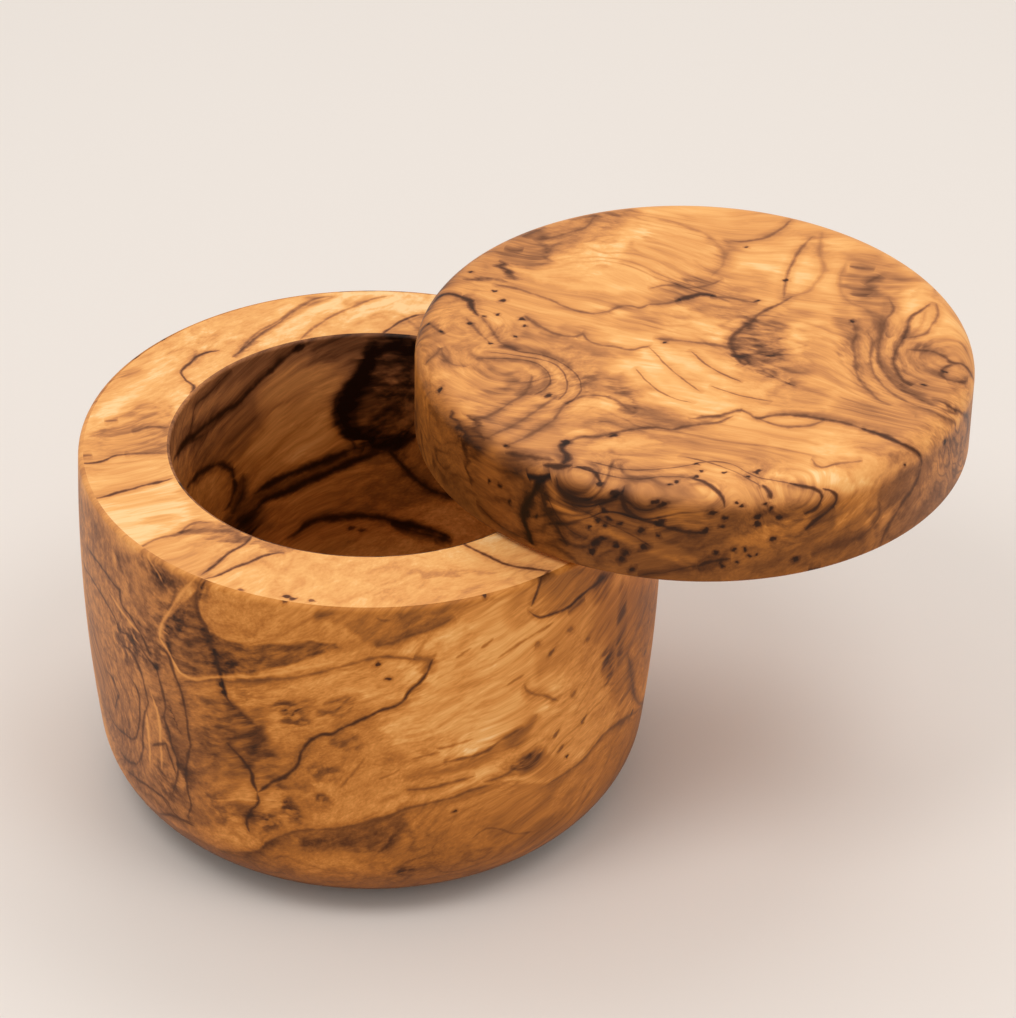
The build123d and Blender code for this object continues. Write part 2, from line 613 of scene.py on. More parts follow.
def stroke(points, width, soft, blunt=False):
    """Draws a line of this width in mm, thinner at its ends unless blunt. Its strength is 1 or more
    along its middle, falls by 1 in each `soft` mm away from it, and is NO_LINE beyond its ends."""
    def draw(nodes, chart):
        strength = None
        for run, is_start, is_end in runs(points):
            axis = Axis(run[0], run[-1])
            u, v = axis.readings(nodes, chart)
            line = [axis.place(point) for point in run]
            first_slope, last_slope = ((b[1] - a[1]) / (b[0] - a[0]) for a, b in (line[:2], line[-2:]))
            first, last = line[0][0], line[-1][0]
            before = (0, line[0][1] - first_slope * first)
            after = (1, line[-1][1] + last_slope * (1 - last))
            off = nodes.math("ABSOLUTE", nodes.math("SUBTRACT", v, nodes.curve(u, [before, *line, after])))
            taper = min(LONGEST_TAPER, TAPER_WIDTHS * width / axis.length)
            height = (width / soft + 1) / 2
            thin = 1.0 if blunt else (THIN_END * height - NO_LINE) / (height - NO_LINE)
            profile = [(0, 0), (first, thin if is_start else 1), (first + taper, 1),
                       (last - taper, 1), (last, thin if is_end else 1), (1, 0)]
            swell = nodes.math("MULTIPLY_ADD", nodes.curve(u, profile, "AUTO_CLAMPED"), height - NO_LINE, NO_LINE)
            mark = nodes.math("MULTIPLY_ADD", off, -axis.length / soft, swell)
            strength = mark if strength is None else nodes.math("MAXIMUM", strength, mark)
        return strength
    return draw


def region(upper, lower, soft):
    """Fills the room between two lines that run the same way."""
    def draw(nodes, chart):
        axis = Axis((upper[0] + lower[0]) / 2, (upper[-1] + lower[-1]) / 2)
        u, v = axis.readings(nodes, chart)
        lines = [sorted(axis.place(point) for point in line) for line in (upper, lower)]
        lines.sort(key=lambda line: sum(point[1] for point in line) / len(line))
        first = min(line[0][0] for line in lines)
        last = max(line[-1][0] for line in lines)
        low, high = (nodes.curve(u, [(0, line[0][1]), *line, (1, line[-1][1])], "AUTO_CLAMPED") for line in lines)
        depths = (nodes.math("SUBTRACT", high, v), nodes.math("SUBTRACT", v, low),
                  nodes.math("SUBTRACT", u, first), nodes.math("SUBTRACT", last, u))
        depth = depths[0]
        for other in depths[1:]:
            depth = nodes.math("MINIMUM", depth, other)
        return nodes.between(depth, -soft / axis.length / 2, soft / axis.length / 2)
    return draw


def oval(middle, size, turn):
    """Its strength is 1 in the middle, 0 on the outline, and 1 - r * r at r times its size."""
    def draw(nodes, chart):
        angle = radians(turn)
        u = nodes.reading(chart, middle, Vector((cos(angle), sin(angle))), size[0])
        v = nodes.reading(chart, middle, Vector((-sin(angle), cos(angle))), size[1])
        return nodes.math("SUBTRACT", 1.0, nodes.math("MULTIPLY_ADD", u, u, nodes.math("MULTIPLY", v, v)))
    return draw


class Figure:
    """Veins, patches and spots on one face of the wood, placed by pixels of the photograph that
    `place` carries onto the face."""

    def __init__(self, wood, chart, place, fibre_angle, feather=5.0):
        self.wood = wood
        self.place = lambda pixel: Vector(place(pixel))
        shaken = wood.noise(chart, size=4, detail=3.0, roughness=0.55, colour=True)
        shaken = wood.vector("SUBTRACT", shaken, (0.5, 0.5, 0.5))
        self.line_chart = wood.vector("MULTIPLY_ADD", shaken, (SHAKE, SHAKE, 0), chart)
        crumbs = wood.vector("SUBTRACT", wood.noise(chart, size=1.1, detail=1.0, colour=True), (0.5, 0.5, 0.5))
        self.spot_chart = wood.vector("MULTIPLY_ADD", crumbs, (CRUMBLE, CRUMBLE, 0), self.line_chart)
        self.wobble = wood.math("SUBTRACT", wood.noise(chart, size=2.2), 0.5)
        streaks = wood.math("SUBTRACT", wood.noise(wood.stretched(0.08), size=1.6), 0.5)
        self.dashes = wood.between(streaks, -0.12, 0.1, to_low=0.25)
        self.mottle = wood.between(streaks, -0.25, 0.2, to_low=0.55, to_high=1.3)
        along = (feather * cos(fibre_angle), feather * sin(fibre_angle), 0)
        self.patch_chart = wood.vector("MULTIPLY_ADD", wood.joined(streaks, streaks, 0), along, self.line_chart)

    def places(self, line):
        return [self.place(pixel) for pixel in line]

    def strongest(self, kind, chart, drawings, least=0.0):
        total = least
        for name, draw in drawings:
            total = self.wood.math("MAXIMUM", total, grouped(f"{kind}, {name}", self.wood, chart, draw))
        return total

    def pull(self, mask, share, tone):
        """Pulls the wood's tone part of the way to another."""
        wood = self.wood
        towards = wood.math("SUBTRACT", tone, wood.tone)
        wood.tone = wood.math("MULTIPLY_ADD", towards, wood.math("MULTIPLY", mask, share), wood.tone)

    def shift(self, mask, amount):
        self.wood.tone = self.wood.math("MULTIPLY_ADD", mask, amount, self.wood.tone)

    def veins(self, rows, width, depth, soft=None, tone=0.1, blunt=False, feathered=False, halo=1.5, stain=0.12):
        """Lines that pull the tone part of the way to their own, in a stained strip wider by
        `halo` mm each side."""
        soft = soft or width * SOFT_SHARE
        drawings = [(name, stroke(self.places(line), width, soft, blunt)) for name, (line,) in named_lines(rows)]
        chart = self.patch_chart if feathered else self.line_chart
        strength = self.strongest("vein", chart, drawings, NO_LINE)
        self.shift(self.wood.between(strength, -halo / soft, 0.5), -stain)
        core = self.wood.node("Math", self.wobble, WOBBLE, strength, operation="MULTIPLY_ADD", use_clamp=True)
        self.pull(core.outputs[0], depth, tone)

    def patches(self, rows, amount, soft, crisp=False):
        """Areas, each between two lines, their edges feathered along the fibre unless crisp."""
        drawings = [(name, region(self.places(upper), self.places(lower), soft))
                    for name, (upper, lower) in named_lines(rows)]
        mask = self.strongest("patch", self.line_chart if crisp else self.patch_chart, drawings)
        self.shift(self.wood.math("MULTIPLY", mask, self.mottle), amount)

    def filled(self, strength, soft):
        """Turns an oval's strength into a mask with a soft outline."""
        return self.wood.between(strength, 1 - (1 + soft) ** 2, 1 - (1 - soft) ** 2)

    def spots(self, row, size, depth, turn=0.0, stain=0.14):
        """Ragged spots of this half width and height in mm, each in a stain three times as wide."""
        drawings = [("dark", oval(self.place(pixel), size, turn)) for pixel in pixels(row)]
        strength = self.strongest("spot", self.spot_chart, drawings, NO_LINE)
        self.shift(self.wood.between(strength, NO_LINE, 1.0), -stain)
        self.pull(self.filled(strength, SPOT_SOFTNESS), depth, SPOT_TONE)

    def smudges(self, rows, amount, soft=0.8):
        """Soft ovals of short dashes, each written as its pixel, half width, half height and turn."""
        drawings = []
        for row in rows.split(";"):
            middle, *measures = row.split()
            wide, high, turn = map(float, measures)
            drawings.append(("dashed", oval(self.places(pixels(middle))[0], (wide, high), turn)))
        mask = self.filled(self.strongest("smudge", self.patch_chart, drawings, NO_LINE), soft)
        self.shift(self.wood.math("MULTIPLY", mask, self.dashes), amount)

    def below(self, row, soft, start, end):
        """Under a line across the chart, from one x to another."""
        points = self.places(pixels(row))
        span = end - start

        def draw(nodes, chart):
            u = nodes.reading(chart, Vector((start, 0)), Vector((1, 0)), span)
            v = nodes.reading(chart, Vector((start, 0)), Vector((0, 1)), span)
            line = sorted(((p.x - start) / span, p.y / span) for p in points)
            edge = nodes.curve(u, [(0, line[0][1]), *line, (1, line[-1][1])], "AUTO_CLAMPED")
            return nodes.between(nodes.math("SUBTRACT", edge, v), -soft / span / 2, soft / span / 2)
        return grouped("below a line", self.wood, self.patch_chart, draw)


# ---- Pot rim
rim_wood = Wood("olive wood, pot rim", POT_LIE, level=0.84, contrast=0.22)
across, deep, _ = rim_wood.parts(rim_wood.object_mm)
rim = Figure(rim_wood, rim_wood.joined(across, deep, 1.0), on_rim, fibre_angle=radians(27))
rim.patches("""
    left, behind the first vein: 80,440 110,420 150,404 172,404 / 74,462 102,461 128,454 170,454;
    left, between the cracks: 136,549 160,538 178,533 196,523 225,524 252,536 / 150,557 170,568 203,579 214,566
        228,554 252,538
""", amount=-0.1, soft=2.0)
rim.patches("""
    left front: 184,530 197,522 226,523 254,534 / 188,534 205,538 240,543 254,537;
    left front, small: 252,540 268,538 300,547 / 252,543 266,552 284,554 300,549;
    back, between the diagonals: 236,355 252,338 276,322 300,306 331,296 / 238,357 254,344 276,328 302,312
        331,299;
    back right: 378,335 390,328 414,318 428,314 / 378,340 402,341 428,337
""", amount=-0.22, soft=1.2)
rim.patches("""
    left front, pale: 90,502 124,492 158,483 175,479 / 112,528 136,547 158,538 186,524
""", amount=0.14, soft=2.5)
rim.patches("""
    back, pale: 250,330 300,300 360,290 430,292 / 270,345 320,325 370,318 420,312;
    left, pale: 92,416 120,388 170,350 214,322 / 130,404 160,378 196,352 226,340
""", amount=0.12, soft=4.0)
RIM_SMUDGES = """
    148,409 3.4 2.6 20; 131,433 3.0 3.0 0; 118,428 4.5 1.6 20; 152,438 4.0 3.0 20; 183,351 2.2 2.6 50;
    204,340 4.0 1.2 45; 132,373 2.0 1.2 20; 162,520 2.4 1.6 10; 311,301 1.6 1.2 50; 375,318 3.4 1.6 40;
    356,300 1.8 1.2 40; 455,573 5.0 0.8 0
"""
rim.smudges(RIM_SMUDGES, amount=-0.2)
rim.veins("""
    left, first: 73,464 87,463 102,461 114,456 128,454;
    left, second: 88,500 105,496 124,491 142,486 158,482 173,478;
    curl: 219,350 200,355 190,363 182,372 186,380 194,387 190,394;
    right of the front: 460,542 470,547 484,554 498,561 513,566 532,569 548,571 542,581;
    left crack: 252,536 244,544 228,554 214,566 201,575;
    left crack's edge: 282,553 268,555 250,562 232,569 216,576 205,579;
    back right: 379,336 389,329 400,322 414,316 426,314
""", width=0.55, depth=0.75)
rim.veins("""
    left, first, fading: 126,454 151,453 167,454;
    left, below the pale patch: 136,550 146,544 160,538 178,534 187,527 196,522 210,522;
    back, first diagonal: 236,355 253,340 278,323 300,307 318,298 332,296;
    back, beside the first: 239,351 257,333 278,321 300,306 314,299;
    back, second diagonal: 300,340 309,331 323,322 336,314 355,306 377,298 389,296;
    left of the star smudge: 104,421 118,420;
    right of the star smudge: 133,432 151,427 169,428;
    left, short: 75,456 92,455
""", width=0.6, depth=0.45)
RIM_PITS = "287,597 292,599"
rim.spots(RIM_PITS, size=(0.7, 0.35), depth=0.7)
RIM_FINE_PITS = "312,601 240,590"
rim.spots(RIM_FINE_PITS, size=(0.4, 0.25), depth=0.5)

# ---- Pot side
SIDE_KNOTS = {  # pixel, reach and push
    "left swirl": ((104, 700), 17.0, 18.0),
    "lower right": ((530, 760), 9.0, 9.0),
}
side_wood = Wood("olive wood, pot side", POT_LIE, level=0.725, contrast=0.22, ring_depth=0.09, streak_depth=0.2,
                 knots=[(pot_point(pixel), reach, push) for pixel, reach, push in SIDE_KNOTS.values()])
across, deep, high = side_wood.parts(side_wood.object_mm)
forward = side_wood.math("MULTIPLY", deep, -1.0)
round_the_side = side_wood.math("MULTIPLY", side_wood.math("ARCTAN2", across, forward), rim_radius)
side = Figure(side_wood, side_wood.joined(round_the_side, high, 1.0), on_side, fibre_angle=radians(27), feather=2.5)
# The side is darker towards its foot as painted shade, below a wavy line in front, and round the heel as a painted
# contact shadow
side.shift(side_wood.between(high, 34.0, 2.0), amount=-0.12)
FOOT_LINE = """
    228,852 252,852 262,849 266,844 283,836 310,830 343,828 372,820 389,816 405,809 422,805 446,799 467,792
    489,785 520,783 551,782 570,770 582,761 594,746 606,732 623,720 640,708
"""
foot = side.below(FOOT_LINE, soft=1.2, start=-60.0, end=80.0)
in_front = side_wood.between(deep, 34.0, 8.0)  # fades out before the chart's seam at the back
side.shift(side_wood.math("MULTIPLY", foot, in_front), amount=-0.14)
# A painted contact shadow in a band round the heel, a few mm above the floor
painted_contact_shadow = side_wood.math("MULTIPLY", side_wood.between(high, 6.5, 3.2), side_wood.between(high, 0.1, 2.0))
side.shift(painted_contact_shadow, amount=-0.2)
side.patches("""
    left, under the pale crack: 207,580 199,604 209,630 214,642 / 202,582 184,602 164,630 168,648;
    left, brown with a pale edge: 164,634 190,632 209,632 229,641 255,645 307,641 333,644 / 170,658 183,674
        229,674 277,668 311,658 337,648
""", amount=-0.3, soft=0.8, crisp=True)
# The first patch, on the left under the rim, is partly darker wood and partly painted shade
side.patches("""
    left, under the rim: 118,546 150,560 178,574 198,581 / 130,562 152,576 170,588 184,592 196,586;
    foot, dark: 300,838 340,832 384,820 404,814 / 304,848 344,850 388,850 408,834
""", amount=-0.22, soft=2.5)
# The patch at the upper left is partly darker wood and partly painted shade
side.patches("""
    lower left, by the swirl: 190,736 200,740 212,752 / 196,776 206,784 218,780;
    behind the crack: 150,612 158,624 162,640 / 152,640 158,652 164,656;
    by the knot: 532,754 542,750 554,758 / 532,776 542,780 556,774;
    hatched, left: 282,700 300,698 314,700 / 284,714 300,716 314,710;
    upper left: 116,560 130,590 140,615 153,638 / 182,578 176,598 166,618 160,636;
    left of the crack's foot: 184,788 214,794 256,800 / 190,824 214,828 238,818;
    right of the crack's foot: 290,784 306,780 324,790 / 290,820 306,826 320,812;
    by the swirl's crack: 180,680 200,684 222,684 / 182,704 204,706 226,702;
    behind the swirl: 136,616 150,630 160,650 / 134,650 150,668 168,672
""", amount=-0.14, soft=2.0)
side.patches("""
    lower left: 196,728 212,708 230,704 246,712 262,728 / 200,748 220,756 236,750 254,750 264,742
""", amount=-0.12, soft=2.5)
side.patches("""
    hatched: 240,692 280,688 336,690 / 268,776 290,800 330,768
""", amount=-0.06, soft=4.0)
side.patches("""
    lower left, paler: 184,700 200,696 228,700 262,724 / 190,790 210,796 236,790 264,760;
    under the rim: 318,604 376,605 412,604 448,600 494,596 / 318,620 345,628 366,643 378,646 393,643 407,636
        431,629 453,619 474,607 494,598;
    right, inside the bent vein: 550,570 575,566 604,566 / 538,612 551,612 568,605 590,590 604,577;
    lower right streak: 508,742 520,731 530,721 536,716 / 512,750 518,750 526,741 533,728 537,720
""", amount=-0.16, soft=2.0)
side.patches("""
    upper left wedge: 200,600 214,588 242,592 283,598 312,602 / 202,612 211,631 233,642 264,646 295,643 314,640;
    middle left: 312,602 345,606 370,606 / 314,660 350,652 372,645
""", amount=-0.05, soft=3.0)
side.patches("""
    pale: 400,655 440,620 490,600 536,580 / 410,765 450,760 505,735 532,700 545,640;
    foot, pale: 214,812 236,808 252,812 / 220,836 236,846 250,844;
    foot, front: 300,856 350,858 396,862 / 310,872 350,876 390,876;
    under the pale line: 330,662 366,654 404,648 / 340,672 370,664 404,656;
    swirl, pale: 168,700 176,696 184,704 / 172,790 180,800 188,786
""", amount=0.12, soft=4.0)
side.patches("""
    left swirl: 80,480 96,512 118,546 134,592 150,642 170,670 186,720 192,780 190,826 / 72,490 80,570 90,660
        105,720 125,770 160,812 188,830
""", amount=-0.2, soft=9.0)
side.patches("""
    right edge: 606,590 640,580 655,590 / 600,640 606,680 620,705 645,700 652,660
""", amount=-0.14, soft=5.0)
SIDE_DARK_SMUDGES = """
    288,709 2.6 1.2 0; 297,721 2.0 0.8 10; 340,707 3.0 1.4 30; 348,742 2.4 1.6 0; 326,774 2.4 1.6 0;
    325,800 1.2 0.9 -40; 264,820 2.4 1.6 0; 293,811 1.2 2.4 20; 529,760 2.6 1.6 20; 604,585 2.6 2.0 40;
    622,620 1.2 6.0 0; 609,665 1.4 3.0 0; 204,585 1.2 2.2 0; 402,871 1.8 1.0 0
"""
side.smudges(SIDE_DARK_SMUDGES, amount=-0.3)
SIDE_SOFT_SMUDGES = """
    166,603 3.4 3.4 0; 160,636 2.2 4.4 0; 152,562 4.0 1.6 -30; 126,640 3.0 3.4 0; 168,780 2.0 3.4 0;
    240,672 4.4 1.4 0; 247,702 3.0 3.4 0; 262,765 2.0 3.0 0; 262,836 3.4 2.0 0; 275,806 2.0 4.4 0;
    232,815 3.0 3.0 0; 376,680 3.0 2.0 0; 522,610 2.2 2.6 0; 625,707 3.2 2.6 30; 422,750 4.4 1.6 15
"""
side.smudges(SIDE_SOFT_SMUDGES, amount=-0.16, soft=1.0)
SIDE_PALE_SMUDGES = """
    196,592 1.2 3.4 0; 368,628 3.8 2.0 0; 418,684 1.6 3.0 -30; 478,754 6.0 1.6 15; 466,776 3.4 1.6 0;
    588,790 5.0 2.6 40; 106,728 1.6 6.0 0; 342,740 3.0 2.0 0; 550,690 2.2 3.4 0
"""
side.smudges(SIDE_PALE_SMUDGES, amount=0.12, soft=1.0)
side.veins("""
    crack, right part: 433,660 428,672 422,680 410,691 400,703 378,712 359,721 340,729 334,733 319,736 307,744
        300,754 298,763 290,773 276,780 264,788 258,793;
    crack, foot: 258,793 259,802 251,811 247,823 250,833;
    bent, right: 548,571 542,581 537,593 532,606;
    bent, right, back up: 530,612 539,617 551,614 566,608 582,595 597,583 606,576;
    crack, branch up: 258,793 253,782 252,775 245,763 228,744;
    left, down from the rim: 214,650 218,665 222,679 226,696 233,708
""", width=0.6, depth=0.85, soft=0.5, tone=0.14)
side.veins("""
    under the pale line: 182,682 214,680 233,682 264,680 300,677 324,671 348,665 370,659 383,657 402,658
        417,660;
    foot's edge: 228,852 252,852 262,849 266,844 283,836 310,830 343,828 372,820 389,816 405,809 422,805 446,799
        467,792 489,785;
    foot's edge, right: 551,782 570,770 582,761 594,746 606,732 623,720 640,708;
    under the rim: 378,646 393,643 407,636 431,629 453,619;
    lower band, top: 446,762 484,752 503,739 522,728;
    lower band, foot: 407,790 436,787 460,780 474,776;
    by the knot: 484,782 503,776 518,766 530,756;
    right, short: 525,684 527,691 544,695 558,701;
    right, inside the bend: 568,612 585,599;
    right edge: 628,655 632,680 635,698 645,705;
    left, down from the corner: 202,578 197,610 206,629 214,650
""", width=0.5, depth=0.5, soft=0.55, tone=0.2)
side.veins("""
    streak: 436,749 474,739;
    streak, upper: 455,658 472,647;
    streak, top: 482,648 494,638;
    streak, right: 506,686 525,674;
    streak, long: 498,658 525,640 554,622;
    by the blob: 410,760 440,752;
    dash: 379,780 400,770;
    thin: 365,758 341,788;
    wave: 470,840 484,830 498,829 513,834 532,832;
    wave mark: 376,618 385,621 393,620
""", width=0.35, depth=0.35, soft=0.5, halo=0.4, stain=0.0)
side.veins("""
    lower band: 407,778 436,772 465,766 489,756 506,744 522,730 534,718
""", width=1.6, depth=0.35, soft=1.2, tone=0.35, feathered=True)
side.veins("""
    blob under the rim: 414,657 424,659 434,661;
    blob, down: 430,658 428,666 424,674
""", width=1.2, depth=0.5, soft=1.0, tone=0.3)
side.veins("""
    crack: 193,580 180,596 168,613 161,629 160,638 168,652 178,670 185,676 214,678 228,677 259,676 288,672
        314,666 336,661;
    swirl cell: 146,712 149,740 150,765;
    upper left: 146,554 156,571 163,583;
    swirl, upper: 108,590 118,606 128,620 144,637;
    swirl, middle: 131,630 138,644 148,660;
    swirl, lower: 150,690 158,716 160,740 162,770;
    lower left: 214,801 236,799 259,801
""", width=0.6, depth=0.6, soft=0.45, tone=0.85, stain=0.0)
SIDE_FAINT_PITS = "570,630 588,640 604,653 645,653 573,694 538,644"
side.spots(SIDE_FAINT_PITS, size=(0.5, 0.4), depth=0.25, stain=0.08)
SIDE_SLANTING_PITS = "552,652 584,719 556,734 561,748"
side.spots(SIDE_SLANTING_PITS, size=(0.8, 0.3), depth=0.4, turn=50, stain=0.08)
SIDE_PITS = "567,756 632,712 484,593 377,665 389,679 215,653 221,684 223,692 156,667"
side.spots(SIDE_PITS, size=(0.4, 0.3), depth=0.7, turn=40)
SIDE_EDGE_PITS = "287,597 455,811"
side.spots(SIDE_EDGE_PITS, size=(0.4, 0.25), depth=0.6, turn=20)
side.veins("""
    swirl, from the rim: 84,564 96,586 106,602 114,617 119,629 130,636 139,646 149,660 156,667 160,682 163,694
        166,706 164,718 169,732 173,749 178,763 176,780 173,794;
    swirl, beside it: 86,545 98,562 113,583 120,590 122,605 132,619 144,641 151,658;
    swirl, outer: 116,631 122,643 132,653 139,667 144,684 148,703 144,718 143,737 142,754 137,764;
    swirl, outer foot: 137,764 127,760 120,751;
    swirl, inner: 106,670 113,679 119,694 115,708;
    swirl, middle: 128,674 137,689 140,708 139,727 134,739 125,734 115,725 109,713;
    swirl, right: 156,643 166,653 173,670 180,689 185,708 188,730 191,746 187,763 187,785 191,806 188,818;
    swirl, small loop: 152,746 156,744 166,744 170,756 176,774;
    swirl, foot: 127,770 139,780 156,792 166,800 175,814 192,823;
    swirl, lowest: 160,814 175,816 194,826
""", width=0.5, depth=0.6, tone=0.12, halo=1.0, stain=0.05)
side_wood.veined(side_wood.between(deep, -4.0, 14.0), depth=0.3)

# ---- Pot well
well_wood = Wood("olive wood, pot well", POT_LIE, level=0.61, contrast=0.26)
across, deep, high = well_wood.parts(well_wood.object_mm)
round_the_well = well_wood.math("MULTIPLY", well_wood.math("ARCTAN2", across, deep), mouth_radius)
well = Figure(well_wood, well_wood.joined(round_the_well, high, 1.0), on_well, fibre_angle=radians(40), feather=3.0)
# Painted shade at the top of the well's wall, just under the mouth
well.shift(well_wood.between(high, 63.0, 68.0), amount=-0.16)
well.patches("""
    left of the first crack: 176,440 200,418 230,396 262,366 296,338 / 184,448 206,426 240,400 272,368 300,345;
    under the mouth: 310,335 340,330 372,330 / 316,362 342,366 368,356;
    middle: 190,450 214,420 240,404 / 214,466 240,452 262,430
""", amount=-0.14, soft=2.0)
# A painted pool of light on the well's back wall
well.patches("""
    pale: 262,430 268,390 292,368 320,366 / 266,468 300,462 326,440 338,400
""", amount=0.08, soft=4.0)
well.patches("""
    under the band: 240,520 300,500 380,460 420,445 / 250,540 300,524 380,512 455,500;
    right of the branch: 390,448 410,470 440,490 456,498 / 420,440 440,460 456,480
""", amount=-0.12, soft=2.0)
well.veins("""
    blotch: 366,360 350,392 344,420 358,440
""", width=3.0, depth=0.5, soft=2.0, tone=0.12, blunt=True, feathered=True)
well.patches("""
    blotch: 372,334 366,356 344,392 338,410 350,440 364,449 / 412,334 424,352 417,374 430,398 421,422 404,446
""", amount=-0.4, soft=3.0)
well.patches("""
    bottom: 204,545 228,516 244,512 262,508 / 222,560 244,548 264,526
""", amount=-0.3, soft=4.0)
well.veins("""
    first crack: 299,346 294,350 287,356 278,363 272,370 263,378 254,387 245,396 237,404 226,410 219,416 209,423
        200,430 192,437 185,442 179,451 174,459;
    branch: 390,452 398,461 407,471 417,481 431,490 445,495 456,499;
    loop: 187,487 193,480 202,472 211,467 219,464 226,466 232,470 234,478;
    loop, down: 234,478 235,487 233,495 229,506 225,511
""", width=1.0, depth=0.8, soft=0.9, tone=0.05)
well.veins("""
    band, upper edge: 254,494 268,485 289,475 306,468 324,462 341,454 355,448;
    band, lower edge: 240,518 254,511 263,502 278,495 292,489 306,481 324,475 341,467 358,459 372,455 383,452;
    band, right end: 372,447 385,448 397,443 410,438 417,435;
    arc: 289,537 296,534 306,525 317,520 332,518 350,516 367,516 384,519 402,523 419,527 437,532 449,537
""", width=1.3, depth=0.8, soft=1.0, tone=0.04)
well.veins("""
    band: 240,508 262,496 292,484 324,469 355,454 385,449 412,438
""", width=2.4, depth=0.45, soft=1.8, tone=0.15, feathered=True)
well.veins("""
    beside the crack: 230,372 216,386 206,396 195,407 192,424 189,435;
    crack's foot: 182,446 199,438 207,433;
    blotch's edge: 374,341 369,348 367,355 371,362 365,370 358,379 346,388 339,396 337,407 338,417 344,428
        350,438 355,447 364,449;
    blotch, top right: 407,346 409,355
""", width=0.5, depth=0.6)
WELL_PITS = "301,347 374,355 346,407 372,435"
well.spots(WELL_PITS, size=(0.8, 0.5), depth=0.7, turn=20)
WELL_FINE_PITS = "352,528 362,530"
well.spots(WELL_FINE_PITS, size=(0.5, 0.3), depth=0.5)
well.veins("""
    black by the loop: 244,474 243,486 240,500 232,514;
    arc, right end: 392,524 410,530 430,535 452,542
""", width=1.7, depth=0.8, soft=1.6, tone=0.05)
well_wood.veined(well_wood.between(deep, -4.0, -16.0), depth=0.25)

# ---- Lid
LID_TOP_MIDDLE = (lid_middle.x, lid_middle.y, lid_high.z)
LID_KNOTS = {  # pixel, reach and push
    "right knot": ((950, 372), 26.0, 26.0),
    "left swirl": ((500, 374), 19.0, 15.0),
    "nose": ((790, 500), 11.0, 10.0),
    "back": ((640, 250), 20.0, -9.0),
    "cell 1": ((585, 485), 9.0, 9.0),
    "cell 2": ((648, 505), 9.0, 9.0),
    "cell 3": ((700, 500), 8.0, 8.0),
    "left blot": ((470, 320), 9.0, -8.0),
}
lid_wood = Wood("olive wood, lid", LID_LIE, level=0.79, contrast=0.36, ring_depth=0.18, streak_depth=0.2,
                fibre_depth=0.2,
                knots=[(lid_point(pixel), reach, push) for pixel, reach, push in LID_KNOTS.values()])
from_top = lid_wood.vector("SUBTRACT", lid_wood.object_mm, LID_TOP_MIDDLE)
drop = lid_wood.vector("DOT_PRODUCT", from_top, (0, 0, -1))
flat = lid_wood.vector("MULTIPLY", from_top, (1, 1, 0))
outward = lid_wood.math("DIVIDE", drop, lid_wood.vector("LENGTH", flat))
unrolled = lid_wood.vector("ADD", lid_wood.scaled(flat, lid_wood.math("ADD", outward, 1.0)), (0, 0, 1))
top = Figure(lid_wood, unrolled, on_lid, fibre_angle=radians(-20))
LEAN = 0.04  # the slope by which the lid's darker side starts higher on the left
drop_leaning = lid_wood.vector("DOT_PRODUCT", from_top, (-LEAN, 0, -1))
side_of_lid = lid_wood.between(drop_leaning, 0.8, 4.2)
# The lid's side is darker than its top: partly darker wood, partly painted shade
top.shift(side_of_lid, amount=-0.28)
# Broad areas of the lid's top
top.patches("""
    left back, along the edge: 478,250 510,228 550,212 600,201 630,198 / 486,262 515,268 545,264 560,247 590,235
        612,228 636,208;
    right of the lens, low: 724,266 744,262 770,268 / 726,304 748,306 772,296;
    right knot: 902,346 930,342 968,346 / 904,392 930,402 966,402;
    right, beside the flow: 850,300 866,304 884,300 / 860,340 872,346 890,338;
    behind the flow: 872,252 892,258 908,272 / 880,282 890,286 902,288;
    lens: 652,290 672,282 700,284 728,282 / 655,300 680,302 700,300 726,300;
    in front of the lens: 692,302 710,300 724,302 / 694,308 710,314 726,310;
    right of the lens: 700,270 722,244 730,238 / 688,282 715,280 734,268 734,250;
    right of the bent vein: 740,330 760,312 780,302 794,300 / 746,366 770,372 796,384 790,355 792,325;
    right, back: 850,256 843,284 856,304 868,326 / 880,250 880,276 888,298 892,322;
    swirl: 500,338 530,328 560,334 592,344 / 500,350 530,352 566,366 590,392;
    swirl, front: 470,396 500,388 524,392 / 476,414 500,410 524,400;
    left: 420,330 426,345 428,366 / 436,332 444,350 450,368;
    in front of the arch: 600,410 632,412 660,412 / 596,428 630,429 666,427;
    before the long vein: 622,400 650,402 690,412 / 628,416 656,424 690,422
""", amount=-0.22, soft=4.0)
top.patches("""
    back, orange: 630,236 660,226 704,232 / 638,262 668,284 700,280;
    before the lens, right: 720,308 742,306 762,310 / 722,326 742,330 758,324;
    right of the bulb: 828,298 836,325 838,354 / 848,298 853,325 853,354;
    inside the right flow: 886,292 894,318 890,342 / 900,296 908,322 926,344;
    far left: 436,312 456,306 476,316 / 444,342 460,350 480,340;
    left of the swirl: 468,366 496,360 522,366 / 474,388 500,392 524,384;
    before the left spots: 490,322 510,320 528,326 / 494,336 512,338 530,334;
    before the swirl: 484,404 530,400 592,408 / 490,424 530,428 588,428;
    hatching, dark: 616,372 624,370 634,380 / 620,396 630,402 638,400;
    right, under the flow: 862,400 890,412 930,424 / 830,410 870,422 920,438;
    middle right: 790,376 810,380 826,386 / 764,402 790,408 820,408
""", amount=-0.14, soft=3.0)
